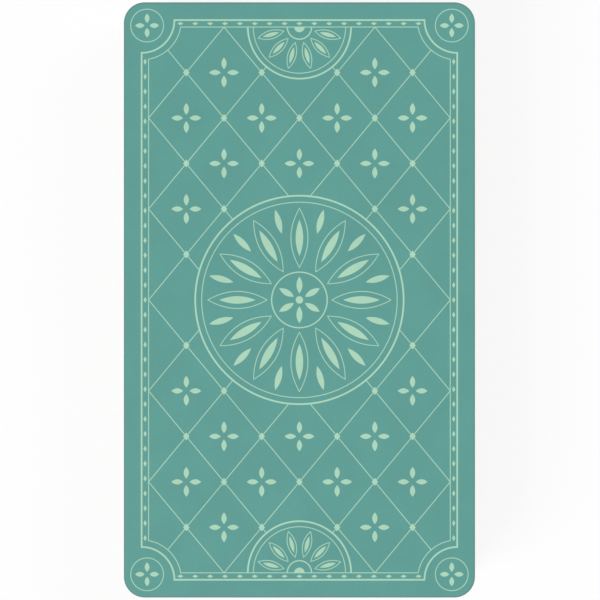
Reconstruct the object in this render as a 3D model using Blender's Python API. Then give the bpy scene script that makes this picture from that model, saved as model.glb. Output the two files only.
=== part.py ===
"""Oracle card deck: a squared stack of die-cut cards that lies on a table with its backs up.

Units are metres, with +Z up. The origin is on the table, under the middle of the stack. +Y points to the
head of the cards, and +X to their right as the backs are seen. The cards fan about a pinch point near their
foot, and the top card also slides off to either side of the card under it.
"""

import math
import random

import bmesh
import bpy

MM = 0.001

# One card
CARD_WIDTH = 70.8 * MM
CARD_LENGTH = 120.0 * MM
CARD_THICKNESS = 0.33 * MM
CORNER_RADIUS = 4.2 * MM
CORNER_STEPS = 7

# The cutting die enters at the printed back and rolls its rim over
ROLLED_RIM = 0.08 * MM
RIM_STEPS = 1

# The stack: card count, the air between two cards, and how far a card lies out of true each way
CARD_COUNT = 44
AIR_GAP = 0.03 * MM
SQUARING_ERROR = 0.12 * MM
SQUARING_SEED = 44

# Where thumb and finger hold the deck to fan it, on the middle line above the foot
PINCH_FROM_FOOT = 12.0 * MM

# Inks and stock: sRGB colour and roughness
BACK_PRINT = ("#629F97", 0.45)
FACE_PRINT = ("#DDEBDF", 0.45)
PAPER_CORE = ("#EFECE4", 0.90)

# The material slots of a card, and how far a facet turns up or down before it counts as printed
BACK_SLOT, FACE_SLOT, CORE_SLOT = range(3)
PRINTED_SLOPE = 0.1

CARD_PITCH = CARD_THICKNESS + AIR_GAP
SHARP_ANGLE = math.radians(30.0)


def clear_scene():
    """Empties the scene of its objects."""
    for item in list(bpy.data.objects):
        bpy.data.objects.remove(item, do_unlink=True)


def linear_colour(code):
    """An sRGB hex colour as linear red, green, blue and alpha."""
    shares = [int(code[start : start + 2], 16) / 255 for start in (1, 3, 5)]
    return [s / 12.92 if s <= 0.04045 else ((s + 0.055) / 1.055) ** 2.4 for s in shares] + [1.0]


def surface(name, finish):
    """A plain printed or bare paper surface."""
    code, roughness = finish
    material = bpy.data.materials.new(name)
    material.use_nodes = True
    shader = material.node_tree.nodes["Principled BSDF"]
    shader.inputs["Base Color"].default_value = linear_colour(code)
    shader.inputs["Roughness"].default_value = roughness
    shader.inputs["Metallic"].default_value = 0.0
    return material


def is_upright(edge):
    """Whether an edge runs along Z, as the four corners of a squared sheet do."""
    low, high = edge.verts
    return abs(low.co.z - high.co.z) > CARD_THICKNESS / 2


def slot_of(face):
    """The material slot of a facet: the back turns up, the face turns down, and the rest is bare core."""
    if face.normal.z > PRINTED_SLOPE:
        return BACK_SLOT
    return FACE_SLOT if face.normal.z < -PRINTED_SLOPE else CORE_SLOT


def round_off(sheet, edges, radius, steps):
    """Rounds some edges of a sheet in a number of facets."""
    bmesh.ops.bevel(
        sheet,
        geom=edges,
        offset=radius,
        offset_type="OFFSET",
        segments=steps,
        profile=0.5,
        affect="EDGES",
    )


def card_mesh():
    """One card, face down: a thin sheet with round corners and a rolled rim at its back."""
    sheet = bmesh.new()
    bmesh.ops.create_cube(sheet, size=1.0)
    bmesh.ops.scale(sheet, vec=(CARD_WIDTH, CARD_LENGTH, CARD_THICKNESS), verts=sheet.verts)
    bmesh.ops.translate(sheet, vec=(0.0, 0.0, CARD_THICKNESS / 2), verts=sheet.verts)
    corners = [edge for edge in sheet.edges if is_upright(edge)]
    round_off(sheet, corners, CORNER_RADIUS, CORNER_STEPS)
    back = max(sheet.faces, key=lambda face: face.calc_center_median().z)
    round_off(sheet, list(back.edges), ROLLED_RIM, RIM_STEPS)
    sheet.normal_update()
    for face in sheet.faces:
        face.material_index = slot_of(face)
    mesh = bpy.data.meshes.new("card")
    sheet.to_mesh(mesh)
    sheet.free()
    mesh.materials.append(surface("back_print", BACK_PRINT))
    mesh.materials.append(surface("face_print", FACE_PRINT))
    mesh.materials.append(surface("paper_core", PAPER_CORE))
    mesh.shade_smooth()
    mesh.set_sharp_from_angle(angle=SHARP_ANGLE)
    return mesh


def card_name(number):
    """The name of a card, counted from 1 at the table."""
    if number == 1:
        return "bottom_card"
    return "top_card" if number == CARD_COUNT else f"card_{number:02d}"


def empty(name, location, collection):
    """A named point that cards hang on."""
    point = bpy.data.objects.new(name, None)
    point.location = location
    point.empty_display_size = CORNER_RADIUS
    collection.objects.link(point)
    return point


def lay_cards(mesh, collection):
    """Lays the stack: the bottom card on the table, most on the pinch point, the top card on the last."""
    squaring = random.Random(SQUARING_SEED)
    table = empty("table_point", (0.0, 0.0, 0.0), collection)
    pinch_y = PINCH_FROM_FOOT - CARD_LENGTH / 2
    pinch = empty("pinch_point", (0.0, pinch_y, 0.0), collection)
    last = table
    for number in range(1, CARD_COUNT + 1):
        level = (number - 1) * CARD_PITCH
        card = bpy.data.objects.new(card_name(number), mesh)
        if number == 1:
            card.parent = table
            card.location = (0.0, 0.0, level)
        elif number < CARD_COUNT:
            aside = squaring.uniform(-SQUARING_ERROR, SQUARING_ERROR)
            along = squaring.uniform(-SQUARING_ERROR, SQUARING_ERROR)
            card.parent = pinch
            card.location = (aside, along - pinch_y, level)
        else:
            card.parent = last
            card.location = (-last.location.x, -last.location.y - pinch_y, CARD_PITCH)
        collection.objects.link(card)
        last = card


def main():
    """Models the deck."""
    clear_scene()
    deck = bpy.data.collections.new("oracle_card_deck")
    bpy.context.scene.collection.children.link(deck)
    lay_cards(card_mesh(), deck)


main()
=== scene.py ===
"""The looks of an oracle card deck: printed, laminated and die-cut cards in a squared stack.

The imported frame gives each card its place. Lengths are metres, apart from those of the print, which are
millimetres from the middle of the card, with x to the right of the back and y to its head. The print is
drawn by depths: a depth is the distance outside a shape, so it is below zero where the shape has ink.
"""

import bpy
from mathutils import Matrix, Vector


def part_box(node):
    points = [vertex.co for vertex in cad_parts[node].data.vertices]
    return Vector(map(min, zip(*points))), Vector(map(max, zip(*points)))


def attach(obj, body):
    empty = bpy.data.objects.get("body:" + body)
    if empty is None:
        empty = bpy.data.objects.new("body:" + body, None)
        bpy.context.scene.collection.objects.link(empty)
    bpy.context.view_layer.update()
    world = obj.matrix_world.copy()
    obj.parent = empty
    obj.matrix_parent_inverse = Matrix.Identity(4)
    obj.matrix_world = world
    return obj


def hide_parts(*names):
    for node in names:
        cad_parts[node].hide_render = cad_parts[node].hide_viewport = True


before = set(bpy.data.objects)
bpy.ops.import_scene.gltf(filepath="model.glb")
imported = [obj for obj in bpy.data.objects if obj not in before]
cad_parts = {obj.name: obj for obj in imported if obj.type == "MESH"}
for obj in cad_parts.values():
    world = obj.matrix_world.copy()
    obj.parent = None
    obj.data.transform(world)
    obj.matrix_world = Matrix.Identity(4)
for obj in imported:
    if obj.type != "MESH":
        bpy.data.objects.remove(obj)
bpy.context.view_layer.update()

import logging
import math
from dataclasses import dataclass, field, replace
from enum import Enum
from typing import Any, Optional, Protocol, Union

import bmesh
import bpy
from mathutils import Vector

MM = 0.001
LOG = logging.getLogger("card_deck")
TOP_CARD = "top_card"
# What each face of a card knows: the card's number in the stack, and where the card's middle is.
NUMBER_LAYER = "card_number"
MIDDLE_LAYER = "card_middle"
# The corner radius of a card, in millimetres, which the frame's boxes don't give.
CARD_CORNER = 4.2
# How far up or down a facet's normal points, at the least, where print covers the facet.
STEEPEST_PRINT = 0.5
# The two inks of the deck, in sRGB.
TEAL = "#55968E"
MINT = "#A8D1B6"
MATH = "ShaderNodeMath"
# Most of a noise's values lie in this span.
NOISE_SPAN = (0.3, 0.7)
# A Mix node that mixes colours, and where its sockets are.
COLOUR_MIX = {"data_type": "RGBA"}
MIX_SHARE, MIX_UNDER, MIX_OVER, MIX_RESULT = 0, 6, 7, 2


def linear_colour(code: str) -> tuple[float, float, float, float]:
    """Turns an sRGB hex colour to linear.

    Args:
        code: The colour as #RRGGBB.

    Returns:
        Linear red, green, blue and a full alpha.
    """
    shares = [int(code[start : start + 2], 16) / 255 for start in (1, 3, 5)]
    red, green, blue = (s / 12.92 if s <= 0.04045 else ((s + 0.055) / 1.055) ** 2.4 for s in shares)
    return red, green, blue, 1.0


def add_node(
    tree: bpy.types.NodeTree,
    kind: str,
    settings: Optional[dict[str, Any]] = None,
    links: Optional[dict[Union[str, int], Any]] = None,
) -> bpy.types.Node:
    """Adds a node with its settings and its inputs.

    Args:
        tree: The node tree that takes it.
        kind: The node's type.
        settings: The node's properties by name.
        links: Its inputs by name or place, each a socket to link or a value to set.

    Returns:
        The new node.
    """
    node = tree.nodes.new(kind)
    for name, value in (settings or {}).items():
        setattr(node, name, value)
    for place, source in (links or {}).items():
        if isinstance(source, bpy.types.NodeSocket):
            tree.links.new(source, node.inputs[place])
        else:
            node.inputs[place].default_value = source
    return node


def new_material(name: str) -> bpy.types.Material:
    """Starts a material that has nodes.

    Args:
        name: Its name.

    Returns:
        The material.
    """
    material = bpy.data.materials.new(name)
    material.use_nodes = True
    return material


def add_object(name: str, data: bpy.types.ID) -> bpy.types.Object:
    """Adds an object to the scene.

    Args:
        name: Its name.
        data: Its mesh, light or camera.

    Returns:
        The object.
    """
    item = bpy.data.objects.new(name, data)
    bpy.context.scene.collection.objects.link(item)
    return item


def add_shape(name: str, shape: bmesh.types.BMesh) -> bpy.types.Object:
    """Adds a modelled shape to the scene.

    Args:
        name: The name of its object and its mesh.
        shape: The shape, which is freed.

    Returns:
        The object.
    """
    mesh = bpy.data.meshes.new(name)
    shape.to_mesh(mesh)
    shape.free()
    return add_object(name, mesh)


def place_on_card(tree: bpy.types.NodeTree) -> tuple[bpy.types.NodeSocket, bpy.types.NodeSocket]:
    """Finds where on its card a point lies, and on which card.

    Args:
        tree: The node tree of the card's finish.

    Returns:
        The point measured from the card's middle, and the card's number.
    """
    point = add_node(tree, "ShaderNodeTexCoord").outputs["Object"]
    middle = add_node(tree, "ShaderNodeAttribute", {"attribute_name": MIDDLE_LAYER}).outputs["Vector"]
    number = add_node(tree, "ShaderNodeAttribute", {"attribute_name": NUMBER_LAYER}).outputs["Fac"]
    apart = add_node(tree, "ShaderNodeVectorMath", {"operation": "SUBTRACT"}, {0: point, 1: middle})
    return apart.outputs[0], number


class Pen(Enum):
    """The widths of the print's lines, in millimetres."""

    BOLD = 0.34
    MEDIUM = 0.25
    FINE = 0.17


@dataclass(frozen=True)
class Measure:
    """A number that varies over a surface. Arithmetic on it adds the nodes that work it out.

    Attributes:
        tree: The node tree that works it out.
        socket: The node output that holds it.
    """

    tree: bpy.types.NodeTree
    socket: bpy.types.NodeSocket

    def through(self, kind: str, settings: dict[str, Any], *others: Union["Measure", float]) -> "Measure":
        """Passes this number through a node, as the first of its inputs.

        Args:
            kind: The node's type.
            settings: The node's properties by name.
            others: What the inputs after the first get.

        Returns:
            The node's first output.
        """
        terms = [term.socket if isinstance(term, Measure) else term for term in (self, *others)]
        node = add_node(self.tree, kind, settings, dict(enumerate(terms)))
        return Measure(self.tree, node.outputs[0])

    def __add__(self, other: Union["Measure", float]) -> "Measure":
        """This number plus another."""
        return self.through(MATH, {"operation": "ADD"}, other)

    def __sub__(self, other: Union["Measure", float]) -> "Measure":
        """This number less another."""
        return self.through(MATH, {"operation": "SUBTRACT"}, other)

    def __rsub__(self, other: float) -> "Measure":
        """A constant less this number."""
        return self.through(MATH, {"operation": "MULTIPLY_ADD"}, -1.0, other)

    def __mul__(self, other: Union["Measure", float]) -> "Measure":
        """This number times another."""
        return self.through(MATH, {"operation": "MULTIPLY"}, other)

    def __rtruediv__(self, other: float) -> "Measure":
        """A constant divided by this number."""
        return self.through(MATH, {"operation": "POWER"}, -1.0) * other

    def __abs__(self) -> "Measure":
        """This number without its sign."""
        return self.through(MATH, {"operation": "ABSOLUTE"})

    def least(self, *others: Union["Measure", float]) -> "Measure":
        """Finds the least of some numbers, which joins shapes where they are depths.

        Args:
            others: The numbers beside this one.

        Returns:
            The least of them.
        """
        result = self
        for other in others:
            result = result.through(MATH, {"operation": "MINIMUM"}, other)
        return result

    def most(self, *others: Union["Measure", float]) -> "Measure":
        """Finds the greatest of some numbers, which keeps what shapes share where they are depths.

        Args:
            others: The numbers beside this one.

        Returns:
            The greatest of them.
        """
        result = self
        for other in others:
            result = result.through(MATH, {"operation": "MAXIMUM"}, other)
        return result

    def folded(self, step: Union["Measure", float]) -> "Measure":
        """How far this number is past the nearest multiple of a step, from minus to plus half of it."""
        half = step * 0.5
        return self.through(MATH, {"operation": "WRAP"}, half, half * -1.0)

    def line(self, pen: Pen) -> "Measure":
        """Depth outside a line that runs where this number is zero."""
        return abs(self) - pen.value / 2

    def mapped(self, low: float, high: float, to_low: float, to_high: float) -> "Measure":
        """Maps a span of this number smoothly to another, and holds its ends.

        Args:
            low: Where the span starts.
            high: Where it ends.
            to_low: What the start becomes.
            to_high: What the end becomes.

        Returns:
            The mapped number.
        """
        smooth = {"interpolation_type": "SMOOTHSTEP"}
        return self.through("ShaderNodeMapRange", smooth, low, high, to_low, to_high)


def seen(tree: bpy.types.NodeTree) -> Measure:
    """Tells rays from the camera, also by way of gloss or glass, from those that light things.

    Args:
        tree: The node tree of the table or the surroundings.

    Returns:
        1 for the first kind of ray, and 0 for the second.
    """
    path = add_node(tree, "ShaderNodeLightPath")
    names = ("Is Camera Ray", "Is Glossy Ray", "Is Transmission Ray")
    straight, glossy, through_glass = (Measure(tree, path.outputs[name]) for name in names)
    return straight.most(glossy, through_glass)


@dataclass(frozen=True)
class Spot:
    """A place on the print, in millimetres from a point.

    Attributes:
        x: How far to the right of the point it is.
        y: How far towards the head.
    """

    x: Measure
    y: Measure

    def moved(self, x: float, y: float) -> "Spot":
        """The same place measured from a point at x and y."""
        return Spot(self.x - x, self.y - y)

    def quartered(self) -> "Spot":
        """The same place with both signs dropped, so that a drawing repeats in each quarter."""
        return Spot(abs(self.x), abs(self.y))

    def reach(self) -> Measure:
        """The distance from the point."""
        return (self.x * self.x + self.y * self.y).through(MATH, {"operation": "SQRT"})

    def turned(self, count: Union[Measure, float], turn: float = 0.0) -> "Spot":
        """Folds the place into one of several equal sectors round the point.

        Args:
            count: The number of sectors.
            turn: How far the first is turned from y, in sectors.

        Returns:
            The place in its sector: x across it, and y out along its middle.
        """
        step = math.tau / count
        angle = self.x.through(MATH, {"operation": "ARCTAN2"}, self.y)
        angle = (angle - step * turn).folded(step)
        reach = self.reach()
        across = reach * angle.through(MATH, {"operation": "SINE"})
        outward = reach * angle.through(MATH, {"operation": "COSINE"})
        return Spot(across, outward)


@dataclass(frozen=True)
class CardFormat:
    """The size of a card, from the frame, in millimetres.

    Attributes:
        half_width: Half the card's width.
        half_length: Half its length.
        corner: Its corner radius.
    """

    half_width: float
    half_length: float
    corner: float = CARD_CORNER

    @classmethod
    def from_frame(cls) -> "CardFormat":
        """Measures the top card."""
        low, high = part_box(TOP_CARD)
        return cls((high.x - low.x) / 2 / MM, (high.y - low.y) / 2 / MM)

    def depth(self, spot: Spot) -> Measure:
        """Works out the depth outside the card's outline.

        Args:
            spot: The place on the card.

        Returns:
            The depth in millimetres.
        """
        beyond = spot.quartered().moved(self.half_width - self.corner, self.half_length - self.corner)
        outside = Spot(beyond.x.most(0.0), beyond.y.most(0.0)).reach()
        return outside + beyond.x.most(beyond.y).least(0.0) - self.corner


@dataclass(frozen=True)
class Petal:
    """A pointed petal along y, in millimetres.

    Attributes:
        start: Where it starts.
        end: Where it ends.
        width: Its width at the middle.
        kernel_inset: How far the kernel of an outlined petal stays off each end, as a share of the length.
        kernel_width: The width of that kernel, as a share of the petal's.
    """

    start: float
    end: float
    width: float
    kernel_inset: float = 0.2
    kernel_width: float = 0.42

    def depth(self, spot: Spot) -> Measure:
        """Works out the depth outside the solid petal.

        Args:
            spot: The place in the petal's sector.

        Returns:
            The depth in millimetres.
        """
        length, half = self.end - self.start, self.width / 2
        share = spot.y * (2 / length) - (self.start + self.end) / length
        return abs(spot.x) + share * share * half - half

    def outlined(self, spot: Spot) -> Measure:
        """Draws the petal as an outline with a solid kernel in it.

        Args:
            spot: The place in the petal's sector.

        Returns:
            The depth outside the ink.
        """
        inset = (self.end - self.start) * self.kernel_inset
        kernel = Petal(self.start + inset, self.end - inset, self.width * self.kernel_width)
        outline = (self.depth(spot) + Pen.FINE.value / 2).line(Pen.FINE)
        return outline.least(kernel.depth(spot))

    def fourfold(self, spot: Spot) -> Measure:
        """Depth outside four such petals along the axes, a quatrefoil."""
        quarter = spot.quartered()
        return self.depth(Spot(quarter.x.least(quarter.y), quarter.x.most(quarter.y)))


@dataclass(frozen=True)
class Flower:
    """A round flower in two rings, in millimetres from its middle.

    Attributes:
        radius: The radius of the outer ring.
        count: How many petals it has.
        petal: One of its outlined petals.
        ring: The radius of the ring round its heart.
        eye: The radius of the dot in its middle.
        between: A solid petal that stands between two outlined ones, if any does.
        heart: A solid petal in the ring, which holds half as many, if any does.
        turn: How far the first petal is turned from y, in petals.
        double: From the outer ring to the fine one inside it.
    """

    radius: float
    count: Union[Measure, int]
    petal: Petal
    ring: float
    eye: float
    between: Optional[Petal] = None
    heart: Optional[Petal] = None
    turn: float = 0.0
    double: float = 1.3

    def drawn(self, spot: Spot) -> Measure:
        """Draws the flower.

        Args:
            spot: The place, from the flower's middle.

        Returns:
            The depth outside the ink.
        """
        reach = spot.reach()
        outer = reach - self.radius
        inked = [
            (outer + self.double).line(Pen.FINE),
            self.petal.outlined(spot.turned(self.count, self.turn)),
            (reach - self.ring).line(Pen.MEDIUM),
            reach - self.eye,
        ]
        if self.between:
            inked.append(self.between.depth(spot.turned(self.count, self.turn + 0.5)))
        if self.heart:
            inked.append(self.heart.depth(spot.turned(self.count * 0.5)))
        return outer.line(Pen.BOLD).least(*inked)


@dataclass(frozen=True)
class Border:
    """The border of both sides: a bold and a fine line with scooped corners, and a roundel in each corner.

    Attributes:
        margin: From the card's edge to the bold line.
        scoop: The radius of the scooped corners.
        band: From the bold line to the fine one.
        roundel: The radius of the roundels.
        roundel_shift: How far in from the corner of the bold lines they are, along each line.
        roundel_petal: A petal of the quatrefoils in them.
    """

    margin: float = 3.6
    scoop: float = 6.6
    band: float = 1.4
    roundel: float = 3.3
    roundel_shift: float = 1.1
    roundel_petal: Petal = Petal(0.5, 2.4, 0.96)

    def line_corner(self, card: CardFormat) -> tuple[float, float]:
        """Where the bold lines of a side and an end would cross."""
        return card.half_width - self.margin, card.half_length - self.margin

    def depth(self, spot: Spot, card: CardFormat) -> Measure:
        """Depth outside the bold line's outline."""
        corner = spot.quartered().moved(*self.line_corner(card))
        return corner.x.most(corner.y, self.scoop - corner.reach())

    def drawn(self, spot: Spot, card: CardFormat) -> Measure:
        """Draws the border.

        Args:
            spot: The place on the card.
            card: The size of the card.

        Returns:
            The depth outside the ink.
        """
        depth = self.depth(spot, card)
        side, end = self.line_corner(card)
        in_roundel = spot.quartered().moved(side - self.roundel_shift, end - self.roundel_shift)
        return depth.line(Pen.BOLD).least(
            (depth + self.band).line(Pen.FINE),
            (in_roundel.reach() - self.roundel).line(Pen.FINE),
            self.roundel_petal.fourfold(in_roundel),
        )


class Plate(Protocol):
    """What is printed on one side of a card."""

    def inks(self, spot: Spot, number: Measure, card: CardFormat) -> list[Measure]:
        """Draws the side.

        Args:
            spot: The place on the card.
            number: The card's number.
            card: The size of the card.

        Returns:
            The depth outside each ink, in the order of printing.
        """


@dataclass(frozen=True)
class BackPlate:
    """The print of the backs: a studded trellis with a flower in the middle and half of one at each end.

    Attributes:
        border: The border.
        flower: The flower in the middle.
        half_flower: The flower whose half shows at each end.
        across: How many halves of a trellis cell go from the middle to a side.
        along: How many go from the middle to an end.
        stud: Half the height of the studs at the trellis's crossings.
        stud_room: How far a stud's middle stays off the border and the flowers.
        cell_petal: A petal of the quatrefoil in each cell.
        cell_room: How far a quatrefoil's middle stays off the border and the flowers.
        lozenge_pitch: The spacing of the lozenges between the border's lines.
        lozenge: Half their length and half their width.
        lozenge_room: How far they stay off the scooped corners.
    """

    border: Border = Border()
    flower: Flower = Flower(
        radius=21.0,
        count=12,
        petal=Petal(6.4, 18.6, 3.6),
        ring=5.6,
        eye=0.75,
        between=Petal(13.8, 18.8, 1.24),
        heart=Petal(1.3, 4.7, 1.2),
    )
    half_flower: Flower = Flower(
        radius=10.4, count=12, petal=Petal(3.1, 8.75, 1.85), ring=2.45, eye=1.05, turn=0.5, double=1.1
    )
    across: int = 4
    along: int = 6
    stud: float = 0.5
    stud_room: float = 1.0
    cell_petal: Petal = Petal(0.65, 3.0, 1.05)
    cell_room: float = 3.3
    lozenge_pitch: float = 3.0
    lozenge: tuple[float, float] = (0.62, 0.33)
    lozenge_room: float = 1.0

    def inner_half(self, card: CardFormat) -> tuple[float, float]:
        """Half the width and half the length of the fine line's outline."""
        side, end = self.border.line_corner(card)
        return side - self.border.band, end - self.border.band

    def end_spot(self, spot: Spot, card: CardFormat) -> Spot:
        """The place measured inwards from the middle of the fine line at the nearer end."""
        return Spot(spot.x, self.inner_half(card)[1] - abs(spot.y))

    def field(self, spot: Spot, card: CardFormat) -> Measure:
        """Works out the depth outside the trellis's field, which the border and the flowers bound.

        Args:
            spot: The place on the card.
            card: The size of the card.

        Returns:
            The depth in millimetres.
        """
        return (self.border.depth(spot, card) + self.border.band).most(
            self.flower.radius - spot.reach(),
            self.half_flower.radius - self.end_spot(spot, card).reach(),
        )

    def trellis(self, spot: Spot, card: CardFormat) -> Measure:
        """Draws the trellis, its studs and the quatrefoils in its cells.

        Args:
            spot: The place on the card.
            card: The size of the card.

        Returns:
            The depth outside the ink.
        """
        half_width, half_length = self.inner_half(card)
        wide, tall = half_width * 2 / self.across, half_length * 2 / self.along
        spacing = 1 / math.hypot(1 / wide, 1 / tall)
        rising = spot.x * (1 / wide) + spot.y * (1 / tall)
        falling = spot.x * (1 / wide) - spot.y * (1 / tall)
        past_rising, past_falling = rising.folded(1.0), falling.folded(1.0)
        to_rising, to_falling = abs(past_rising) * spacing, abs(past_falling) * spacing
        lines = to_rising.least(to_falling) - Pen.FINE.value / 2
        studs = to_rising.most(to_falling) - self.stud
        past_x = (past_rising + past_falling) * (wide / 2)
        past_y = (past_rising - past_falling) * (tall / 2)
        crossing = Spot(spot.x - past_x, spot.y - past_y)
        in_rising, in_falling = (rising - 0.5).folded(1.0), (falling - 0.5).folded(1.0)
        in_cell = Spot((in_rising + in_falling) * (wide / 2), (in_rising - in_falling) * (tall / 2))
        cell = Spot(spot.x - in_cell.x, spot.y - in_cell.y)
        return lines.most(self.field(spot, card)).least(
            studs.most(self.field(crossing, card) + self.stud_room),
            self.cell_petal.fourfold(in_cell).most(self.field(cell, card) + self.cell_room),
        )

    def lozenges(self, along: Measure, across: Measure, run: float, line: float) -> Measure:
        """Depth outside the lozenges between the border's lines on two opposite sides.

        Args:
            along: The place along those sides.
            across: The place across them.
            run: How far from the middle of a side the last lozenge may lie.
            line: How far from the middle of the card the row lies.

        Returns:
            The depth in millimetres.
        """
        length, width = self.lozenge
        past = along.folded(self.lozenge_pitch)
        shape = abs(past) * (width / length) + abs(abs(across) - line) - width
        return shape.most(abs(along - past) - run)

    def inks(self, spot: Spot, number: Measure, card: CardFormat) -> list[Measure]:
        """Draws the back, which is the same on every card.

        Args:
            spot: The place on the card.
            number: The card's number, which is not used.
            card: The size of the card.

        Returns:
            The depth outside the one ink.
        """
        side, end = self.border.line_corner(card)
        clear = self.border.scoop + self.lozenge_room
        middle = self.border.band / 2
        half_flowers = self.half_flower.drawn(self.end_spot(spot, card))
        drawing = self.border.drawn(spot, card).least(
            self.trellis(spot, card),
            self.lozenges(spot.y, spot.x, end - clear, side - middle),
            self.lozenges(spot.x, spot.y, side - clear, end - middle),
            self.flower.drawn(spot),
            half_flowers.most(self.border.depth(spot, card) + self.border.band),
        )
        return [drawing]


@dataclass(frozen=True)
class FacePlate:
    """The print of the faces: an arched window with a flower over chevrons, and a bare plaque under it.

    Attributes:
        border: The border.
        flower: The flower, which has the least number of petals here and more on other cards.
        counts: How many numbers of petals there are.
        halo: From the flower's outer ring to the window's tint.
        window_half: Half the window's width.
        window_foot: How high its sill is.
        window_spring: How high its arch starts, and the flower's middle is.
        window_double: From its bold outline to the fine one inside it.
        window_reveal: From its bold outline to its tint.
        chevron_length: The length of a chevron.
        chevron_slope: The rise of its arms for each millimetre.
        chevron_pitch: The height from one row to the next.
        chevron_top: How high the last row may be.
        plaque_height: How high the plaque's middle is.
        plaque_half: Half its width and half its height.
        plaque_cut: How much its corners lose along each side.
        plaque_double: From its bold outline to the fine one inside it.
    """

    border: Border = Border()
    flower: Flower = Flower(
        radius=17.5, count=5, petal=Petal(4.4, 15.4, 4.0), ring=3.5, eye=1.3, between=Petal(10.6, 15.4, 1.7)
    )
    counts: int = 8
    halo: float = 1.2
    window_half: float = 23.0
    window_foot: float = -36.0
    window_spring: float = 22.0
    window_double: float = 1.4
    window_reveal: float = 2.2
    chevron_length: float = 6.0
    chevron_slope: float = 0.55
    chevron_pitch: float = 3.2
    chevron_top: float = -2.0
    plaque_height: float = -45.0
    plaque_half: tuple[float, float] = (23.0, 4.2)
    plaque_cut: float = 2.2
    plaque_double: float = 0.9

    def window(self, spot: Spot) -> Measure:
        """Depth outside the arched window."""
        above = Spot(spot.x, (spot.y - self.window_spring).most(0.0))
        return (above.reach() - self.window_half).most(self.window_foot - spot.y)

    def chevrons(self, spot: Spot) -> Measure:
        """Draws the rows of chevrons in the window.

        Args:
            spot: The place on the card.

        Returns:
            The depth outside the ink.
        """
        level = spot.y - abs(spot.x.folded(self.chevron_length)) * self.chevron_slope
        past = level.folded(self.chevron_pitch)
        row = level - past
        return past.line(Pen.FINE).most(self.window(spot) + self.window_reveal, row - self.chevron_top)

    def plaque(self, spot: Spot) -> Measure:
        """Draws the lines of the plaque.

        Args:
            spot: The place on the card.

        Returns:
            The depth outside the ink.
        """
        half_width, half_height = self.plaque_half
        place = spot.moved(0.0, self.plaque_height).quartered()
        cut = place.x + place.y - (half_width + half_height - self.plaque_cut)
        depth = cut.most(place.x - half_width, place.y - half_height)
        return depth.line(Pen.BOLD).least((depth + self.plaque_double).line(Pen.FINE))

    def inks(self, spot: Spot, number: Measure, card: CardFormat) -> list[Measure]:
        """Draws the face, with a number of petals that follows the card's number.

        Args:
            spot: The place on the card.
            number: The card's number.
            card: The size of the card.

        Returns:
            The depths outside the tint and outside the lines.
        """
        count = number.through(MATH, {"operation": "FLOORED_MODULO"}, self.counts) + self.flower.count
        flower = replace(self.flower, count=count)
        place = spot.moved(0.0, self.window_spring)
        window = self.window(spot)
        surround = (window + self.window_reveal).most(flower.radius + self.halo - place.reach())
        tint = surround.least(flower.petal.depth(place.turned(count)))
        lines = self.border.drawn(spot, card).least(
            window.line(Pen.BOLD),
            (window + self.window_double).line(Pen.FINE),
            flower.drawn(place),
            self.chevrons(spot),
            self.plaque(spot),
        )
        return [tint, lines]


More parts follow.
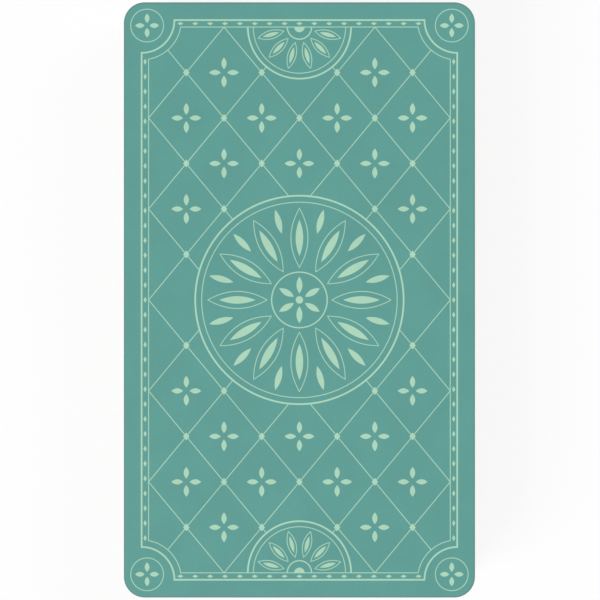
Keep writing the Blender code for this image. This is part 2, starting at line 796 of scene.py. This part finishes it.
@dataclass(frozen=True)
class LaminatedPrint:
    """Offset print on coated board under a matte film: flat inks with a broad, soft sheen and a fine grain.

    Attributes:
        name: The material's name.
        plate: What is printed.
        ground: The colour of the ground, in sRGB.
        inks: The colours printed on it, in sRGB and in the order of printing.
        rim: The colour of a painted shade along the card's edge, in sRGB.
        rim_span: How far in from the edge the painted shade starts, and where it is full, in millimetres.
        rim_cover: How strong the painted shade is in the grain's flecks, from its least to its most.
        roughness: How the film scatters its sheen.
        roughness_spread: How much that varies.
        ior: The film's index of refraction.
        ink_edge: How far ink spreads at the edge of a line, in millimetres.
        mottle: The size of the ink's faint clouds, in millimetres.
        mottle_depth: How much lighter or darker they are.
        grain: The size of the film's grain, in millimetres, coarser than a real film's so that it shows.
        grain_depth: How much lighter or darker it is.
        grain_height: The height of the grain, in millimetres.
        grain_strength: How far the grain turns the light.
        noise_detail: How many finer layers the clouds and the grain have.
    """

    name: str
    plate: Plate
    ground: str
    inks: tuple[str, ...]
    # A painted shade: a darker line along the card's edge.
    rim: str = "#5A807B"
    rim_span: tuple[float, float] = (0.40, 0.16)
    rim_cover: tuple[float, float] = (0.7, 1.0)
    roughness: float = 0.48
    roughness_spread: float = 0.04
    ior: float = 1.46
    ink_edge: float = 0.04
    mottle: float = 9.0
    mottle_depth: float = 0.025
    grain: float = 0.45
    grain_depth: float = 0.015
    grain_height: float = 0.01
    grain_strength: float = 0.25
    noise_detail: float = 3.0

    def printed(self, tree: bpy.types.NodeTree, depths: list[Measure]) -> bpy.types.NodeSocket:
        """Lays the inks on the ground.

        Args:
            tree: The node tree of the material.
            depths: The depth outside each ink.

        Returns:
            The colour of the print.
        """
        colour: Any = linear_colour(self.ground)
        for depth, ink in zip(depths, self.inks):
            cover = depth.mapped(-self.ink_edge, self.ink_edge, 1.0, 0.0)
            layers = {MIX_SHARE: cover.socket, MIX_UNDER: colour, MIX_OVER: linear_colour(ink)}
            colour = add_node(tree, "ShaderNodeMix", COLOUR_MIX, layers).outputs[MIX_RESULT]
        return colour

    def clouded_with_rim_shade(
        self, colour: bpy.types.NodeSocket, depth: Measure, cloud: Measure, fleck: Measure
    ) -> bpy.types.NodeSocket:
        """Clouds and grains the print, and paints a shade along its rim.

        Args:
            colour: The colour of the print.
            depth: The depth outside the card's outline.
            cloud: The noise of the clouds.
            fleck: The noise of the grain.

        Returns:
            The colour of the surface.
        """
        tree = depth.tree
        shade = cloud.mapped(*NOISE_SPAN, 1 - self.mottle_depth, 1 + self.mottle_depth)
        shade = shade * fleck.mapped(*NOISE_SPAN, 1 - self.grain_depth, 1 + self.grain_depth)
        shaded = {0: colour, "Scale": shade.socket}
        colour = add_node(tree, "ShaderNodeVectorMath", {"operation": "SCALE"}, shaded).outputs[0]
        # Painted shade: a darker band along the card's edge, flecked by the grain.
        starts, ends = self.rim_span
        painted_rim_shade = depth.mapped(-starts, -ends, 0.0, 1.0)
        painted_rim_shade = painted_rim_shade * fleck.mapped(*NOISE_SPAN, *self.rim_cover)
        rimmed = {MIX_SHARE: painted_rim_shade.socket, MIX_UNDER: colour, MIX_OVER: linear_colour(self.rim)}
        return add_node(tree, "ShaderNodeMix", COLOUR_MIX, rimmed).outputs[MIX_RESULT]

    def material(self, card: CardFormat) -> bpy.types.Material:
        """Makes the material.

        Args:
            card: The size of the cards that it is printed on.

        Returns:
            The material.
        """
        material = new_material(self.name)
        tree = material.node_tree
        place, number = place_on_card(tree)
        axes = add_node(tree, "ShaderNodeSeparateXYZ", None, {0: place})
        spot = Spot(*(Measure(tree, axes.outputs[axis]) * (1 / MM) for axis in ("X", "Y")))
        cloud, fleck = (
            Measure(
                tree,
                add_node(
                    tree,
                    "ShaderNodeTexNoise",
                    {"noise_dimensions": "4D"},
                    {"Vector": place, "W": number, "Scale": 1 / (size * MM), "Detail": self.noise_detail},
                ).outputs["Fac"],
            )
            for size in (self.mottle, self.grain)
        )
        colour = self.printed(tree, self.plate.inks(spot, Measure(tree, number), card))
        colour = self.clouded_with_rim_shade(colour, card.depth(spot), cloud, fleck)
        rough = cloud.mapped(
            *NOISE_SPAN, self.roughness - self.roughness_spread, self.roughness + self.roughness_spread
        )
        relief = {
            "Strength": self.grain_strength,
            "Distance": self.grain_height * MM,
            "Height": fleck.socket,
        }
        shader = tree.nodes["Principled BSDF"]
        tree.links.new(colour, shader.inputs["Base Color"])
        tree.links.new(rough.socket, shader.inputs["Roughness"])
        tree.links.new(add_node(tree, "ShaderNodeBump", None, relief).outputs[0], shader.inputs["Normal"])
        shader.inputs["IOR"].default_value = self.ior
        return material


@dataclass(frozen=True)
class CutBoard:
    """The die-cut edge of white paper board: chalky, faintly layered, a shade different from card to card.

    Attributes:
        name: The material's name.
        pale: The colour of the clean board, in sRGB.
        dull: The colour of its shaded layers, in sRGB.
        roughness: How the bare fibres scatter light.
        layer: The height of a layer of fibres, in millimetres.
        fibre: The length of a streak of fibres, in millimetres.
        layer_share: How much of the dull colour the layers bring.
        card_share: How much of it a card brings.
        relief_height: The height of the fibres, in millimetres.
        relief_strength: How far they turn the light.
    """

    name: str = "die_cut_paper_board"
    pale: str = "#F7F5F0"
    dull: str = "#D9D5CB"
    roughness: float = 0.9
    layer: float = 0.06
    fibre: float = 2.0
    layer_share: float = 0.6
    card_share: float = 0.4
    relief_height: float = 0.02
    relief_strength: float = 0.4

    def material(self) -> bpy.types.Material:
        """Makes the material.

        Returns:
            The material.
        """
        material = new_material(self.name)
        tree = material.node_tree
        place, number = place_on_card(tree)
        along, up = 1 / (self.fibre * MM), 1 / (self.layer * MM)
        stretch = {"Vector": place, "Scale": Vector((along, along, up))}
        streaks = add_node(tree, "ShaderNodeMapping", None, stretch).outputs[0]
        layered = {"Vector": streaks, "W": number, "Scale": 1.0}
        fibres = add_node(tree, "ShaderNodeTexNoise", {"noise_dimensions": "4D"}, layered).outputs["Fac"]
        tone = add_node(tree, "ShaderNodeTexWhiteNoise", {"noise_dimensions": "1D"}, {"W": number})
        dulled = Measure(tree, fibres).mapped(*NOISE_SPAN, 0.0, self.layer_share)
        dulled = dulled + Measure(tree, tone.outputs[0]) * self.card_share
        tones = {
            MIX_SHARE: dulled.socket,
            MIX_UNDER: linear_colour(self.pale),
            MIX_OVER: linear_colour(self.dull),
        }
        colour = add_node(tree, "ShaderNodeMix", COLOUR_MIX, tones).outputs[MIX_RESULT]
        relief = {"Strength": self.relief_strength, "Distance": self.relief_height * MM, "Height": fibres}
        shader = tree.nodes["Principled BSDF"]
        tree.links.new(colour, shader.inputs["Base Color"])
        tree.links.new(add_node(tree, "ShaderNodeBump", None, relief).outputs[0], shader.inputs["Normal"])
        shader.inputs["Roughness"].default_value = self.roughness
        return material


class Side(Enum):
    """The surfaces of a card, in the order of its material slots."""

    BACK = 0
    FACE = 1
    CUT = 2

    @classmethod
    def of(cls, face: bmesh.types.BMFace) -> "Side":
        """Tells which surface a face is of. Print wraps over the rims, and what is steeper is bare board.

        Args:
            face: The face of a card's mesh.

        Returns:
            The surface.
        """
        if abs(face.normal.z) < STEEPEST_PRINT:
            return cls.CUT
        return cls.BACK if face.normal.z > 0 else cls.FACE


@dataclass(frozen=True)
class FoldedMap:
    """The map that a card's finishes are baked through.

    The quarters of a back are alike, and so are the halves of a face, so they lie folded on one another
    there, which draws the print finer. The cut edge is a strip, with its quarters folded too.

    Attributes:
        name: The map's name.
        back: The lowest and the highest corner of the back on the map.
        face: Those of the face.
        cut: Those of the cut edge.
    """

    name: str = "OFBake"
    back: tuple[Vector, Vector] = (Vector((0.345, 0.05)), Vector((0.995, 0.995)))
    face: tuple[Vector, Vector] = (Vector((0.005, 0.05)), Vector((0.335, 0.995)))
    cut: tuple[Vector, Vector] = (Vector((0.005, 0.005)), Vector((0.995, 0.035)))

    def spread(self, side: Side, place: Vector, half: Vector) -> Vector:
        """Finds a point of a card on the map.

        Args:
            side: The surface that the point is on.
            place: The point, from the card's middle.
            half: Half the card's size.

        Returns:
            The point on the map.
        """
        across, along, up = abs(place.x) / half.x, place.y / half.y, place.z / half.z
        if side is Side.BACK:
            low, high = self.back
            share = Vector((across, abs(along)))
        elif side is Side.FACE:
            low, high = self.face
            share = Vector((across, (along + 1) / 2))
        else:
            low, high = self.cut
            round_edge = (abs(place.y) + half.x - abs(place.x)) / (half.x + half.y)
            share = Vector((round_edge, (up + 1) / 2))
        return low + share * (high - low)

    def lay(self, sheet: bmesh.types.BMesh, middle: Vector, half: Vector) -> None:
        """Cuts a card along the folds and lays it on the map.

        Args:
            sheet: The card.
            middle: Its middle.
            half: Half its size.
        """
        for across_fold in ((1.0, 0.0, 0.0), (0.0, 1.0, 0.0)):
            whole = [*sheet.verts, *sheet.edges, *sheet.faces]
            bmesh.ops.bisect_plane(sheet, geom=whole, plane_co=middle, plane_no=across_fold)
        sheet.normal_update()
        layer = sheet.loops.layers.uv.new(self.name)
        for face in sheet.faces:
            side = Side.of(face)
            for corner in face.loops:
                corner[layer].uv = self.spread(side, corner.vert.co - middle, half)


@dataclass
class Card:
    """One die-cut card: a flat sheet whose back rim the die rolled over and whose face rim it left crisp.

    Attributes:
        node: The CAD node that it replaces, and the body that it rides on.
        number: Its place in the stack, from 1 at the table.
        trim: How much shorter it is cut than its node.
        corner: Its corner radius.
        back_rim: The radius of the rim that the die entered.
        face_rim: The radius of the rim that it left.
        corner_steps: Facets round a corner.
        back_rim_steps: Facets round the back rim.
        face_rim_steps: Facets round the face rim.
        flat_margin: The width of the strip that keeps the sheet's flats flat beside its rims.
        middle: Its middle, from the frame.
        size: Its width, length and thickness, from the frame and the trim.
    """

    node: str
    number: int
    trim: float = 0.0
    corner: float = CARD_CORNER * MM
    back_rim: float = 0.10 * MM
    face_rim: float = 0.04 * MM
    corner_steps: int = 14
    back_rim_steps: int = 3
    face_rim_steps: int = 1
    flat_margin: float = 0.4 * MM
    middle: Vector = field(init=False)
    size: Vector = field(init=False)

    def __post_init__(self) -> None:
        """Measures the node."""
        low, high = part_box(self.node)
        self.middle = (low + high) / 2
        self.size = high - low - Vector((0.0, self.trim, 0.0))

    def sheet(self) -> bmesh.types.BMesh:
        """Models the card where its node lies.

        Returns:
            The card's mesh.
        """
        sheet = bmesh.new()
        bmesh.ops.create_cube(sheet, size=1.0)
        bmesh.ops.scale(sheet, vec=self.size, verts=sheet.verts)
        bmesh.ops.translate(sheet, vec=self.middle, verts=sheet.verts)
        tall = self.size.z / 2
        upright = [edge for edge in sheet.edges if abs(edge.verts[0].co.z - edge.verts[1].co.z) > tall]
        self.round_off(sheet, upright, self.corner, self.corner_steps)
        back = max(sheet.faces, key=lambda face: face.calc_center_median().z)
        self.round_off(sheet, list(back.edges), self.back_rim, self.back_rim_steps)
        front = min(sheet.faces, key=lambda face: face.calc_center_median().z)
        self.round_off(sheet, list(front.edges), self.face_rim, self.face_rim_steps)
        sheet.normal_update()
        by_height = sorted(sheet.faces, key=lambda face: face.calc_center_median().z)
        bmesh.ops.inset_individual(sheet, faces=[by_height[0], by_height[-1]], thickness=self.flat_margin)
        return sheet

    @staticmethod
    def round_off(
        sheet: bmesh.types.BMesh, edges: list[bmesh.types.BMEdge], radius: float, steps: int
    ) -> None:
        """Rounds some edges of a sheet.

        Args:
            sheet: The sheet.
            edges: The edges.
            radius: The radius of the rounding.
            steps: Its facets.
        """
        bmesh.ops.bevel(
            sheet,
            geom=edges,
            offset=radius,
            offset_type="OFFSET",
            segments=steps,
            profile=0.5,
            affect="EDGES",
            material=-1,
        )

    def build(self, finishes: dict[Side, bpy.types.Material]) -> bpy.types.Object:
        """Builds the card, dresses it and puts it on its body.

        Args:
            finishes: The material of each surface.

        Returns:
            The card.
        """
        sheet = self.sheet()
        FoldedMap().lay(sheet, self.middle, self.size / 2)
        number = sheet.faces.layers.float.new(NUMBER_LAYER)
        middle = sheet.faces.layers.float_vector.new(MIDDLE_LAYER)
        for face in sheet.faces:
            face.smooth = True
            face[number] = float(self.number)
            face[middle] = self.middle
            face.material_index = Side.of(face).value
        card = add_shape(f"{self.node}_sheet", sheet)
        for side in Side:
            card.data.materials.append(finishes[side])
        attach(card, self.node)
        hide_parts(self.node)
        return card


@dataclass
class Deck:
    """The squared stack of cards.

    The export bakes the longest pieces finest, so the cards inside the stack are cut a hair short of those
    that show at rest, or once the top card is dealt.

    Attributes:
        back: The finish of the backs.
        face: The finish of the faces.
        cut: The finish of the cut edges.
        inner_trim: How much shorter the cards inside the stack are.
    """

    back: LaminatedPrint = LaminatedPrint("teal_laminated_print", BackPlate(), TEAL, (MINT,))
    # The face's rim colour is also a painted shade along the card's edge.
    face: LaminatedPrint = LaminatedPrint(
        "pale_laminated_print", FacePlate(), "#DCEADF", (MINT, TEAL), rim="#CFCBC0"
    )
    cut: CutBoard = CutBoard()
    inner_trim: float = 0.01 * MM

    def build(self) -> None:
        """Builds every card of the frame, from the table up."""
        card_format = CardFormat.from_frame()
        finishes = {
            Side.BACK: self.back.material(card_format),
            Side.FACE: self.face.material(card_format),
            Side.CUT: self.cut.material(),
        }
        nodes = sorted(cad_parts, key=lambda node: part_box(node)[0].z)
        for number, node in enumerate(nodes, start=1):
            is_inside = 1 < number < len(nodes) - 1
            card = Card(node, number, self.inner_trim if is_inside else 0.0).build(finishes)
            LOG.info("%s: %d faces, rides on %s", card.name, len(card.data.polygons), node)


@dataclass(frozen=True)
class SoftBox:
    """A square soft lamp that faces the deck.

    Attributes:
        name: The lamp's name.
        place: Where it hangs.
        size: The length of its sides.
        power: Its power in watts.
    """

    name: str
    place: tuple[float, float, float]
    size: float
    power: float

    def build(self) -> None:
        """Hangs the lamp."""
        light = bpy.data.lights.new(self.name, "AREA")
        light.size = self.size
        light.energy = self.power
        lamp = add_object(self.name, light)
        lamp.location = self.place
        lamp.rotation_euler = (-Vector(self.place)).to_track_quat("-Z", "Y").to_euler()


@dataclass(frozen=True)
class MatteTable:
    """A matte white table top: plain white to the camera, apart from a faint shadow beside the deck.

    Attributes:
        name: The material's name.
        colour: The colour of the table, in sRGB.
        white_share: How far the table beside the deck turns to plain white for the camera.
        shadow_reach: From where to where off the deck's middle the rest of it turns white.
    """

    name: str = "matte_white_table"
    colour: str = "#F8F8F8"
    white_share: float = 0.82
    shadow_reach: tuple[float, float] = (0.10, 0.35)

    def material(self) -> bpy.types.Material:
        """Makes the material.

        Returns:
            The material.
        """
        material = new_material(self.name)
        tree = material.node_tree
        tree.nodes.remove(tree.nodes["Principled BSDF"])
        matte = add_node(tree, "ShaderNodeBsdfDiffuse", None, {"Color": linear_colour(self.colour)})
        white = add_node(tree, "ShaderNodeEmission", None, {"Strength": 1.0})
        place = add_node(tree, "ShaderNodeTexCoord").outputs["Object"]
        away = add_node(tree, "ShaderNodeVectorMath", {"operation": "LENGTH"}, {0: place}).outputs["Value"]
        share = Measure(tree, away).mapped(*self.shadow_reach, self.white_share, 1.0) * seen(tree)
        surfaces = {0: share.socket, 1: matte.outputs[0], 2: white.outputs[0]}
        surface = add_node(tree, "ShaderNodeMixShader", None, surfaces).outputs[0]
        tree.links.new(surface, tree.nodes["Material Output"].inputs["Surface"])
        return material


@dataclass
class Studio:
    """A white table, soft light from above and all round, and a camera straight over the deck.

    Attributes:
        picture: The side of the photograph, in its pixels.
        card_length: The length of the card there, in pixels.
        card_middle: The middle of the card there, in pixels from the left and the top.
        lens: The camera's focal length, in millimetres.
        sensor: The width of its sensor, in millimetres.
        near: How near it sees.
        lamps: The soft lamps.
        sky: The strength of the light from all round.
        table: The finish of the table.
        table_half: Half the width of the table.
        table_drop: How far the table is under the deck, so that the two don't coincide.
    """

    picture: float = 600.0
    card_length: float = 595.4
    card_middle: tuple[float, float] = (299.42, 299.92)
    lens: float = 100.0
    sensor: float = 36.0
    near: float = 0.01
    lamps: tuple[SoftBox, ...] = (
        SoftBox("key_lamp", (-1.8, -1.5, 1.6), 1.6, 51.0),
        SoftBox("fill_lamp", (1.9, 1.2, 1.5), 1.4, 19.0),
    )
    sky: float = 0.56
    table: MatteTable = MatteTable()
    table_half: float = 3.0
    table_drop: float = 0.05 * MM

    def build(self) -> None:
        """Sets up the table, the light and the camera."""
        self.build_table()
        self.build_surroundings()
        for lamp in self.lamps:
            lamp.build()
        self.build_camera()
        bpy.context.scene.view_settings.view_transform = "Standard"

    def build_table(self) -> None:
        """Lays a pale matte table top under the deck, which keeps the deck's shadow."""
        top = bmesh.new()
        bmesh.ops.create_grid(top, x_segments=1, y_segments=1, size=self.table_half)
        bmesh.ops.translate(top, vec=(0.0, 0.0, -self.table_drop), verts=top.verts)
        table = add_shape("table_top", top)
        table.data.materials.append(self.table.material())

    def build_surroundings(self) -> None:
        """Lights the deck from all round, and shows plain white behind it."""
        world = bpy.data.worlds.new("white_surroundings")
        bpy.context.scene.world = world
        world.use_nodes = True
        tree = world.node_tree
        background = tree.nodes["Background"]
        background.inputs["Color"].default_value = linear_colour("#FFFFFF")
        strength = seen(tree).mapped(0.0, 1.0, self.sky, 1.0)
        tree.links.new(strength.socket, background.inputs["Strength"])

    def build_camera(self) -> None:
        """Hangs the camera straight over the top card, where it has the photograph's frame."""
        low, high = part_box(TOP_CARD)
        pixel = (high.y - low.y) / self.card_length
        left, top = self.card_middle
        data = bpy.data.cameras.new("camera")
        data.lens = self.lens
        data.sensor_width = self.sensor
        data.clip_start = self.near
        camera = add_object("camera", data)
        camera.location = (
            (low.x + high.x) / 2 + (self.picture / 2 - left) * pixel,
            (low.y + high.y) / 2 - (self.picture / 2 - top) * pixel,
            high.z + self.picture * pixel * self.lens / self.sensor,
        )
        bpy.context.scene.camera = camera


def main() -> None:
    """Builds the studio and the deck."""
    logging.basicConfig(level=logging.INFO, format="%(message)s")
    Studio().build()
    Deck().build()


if __name__ == "__main__":
    main()
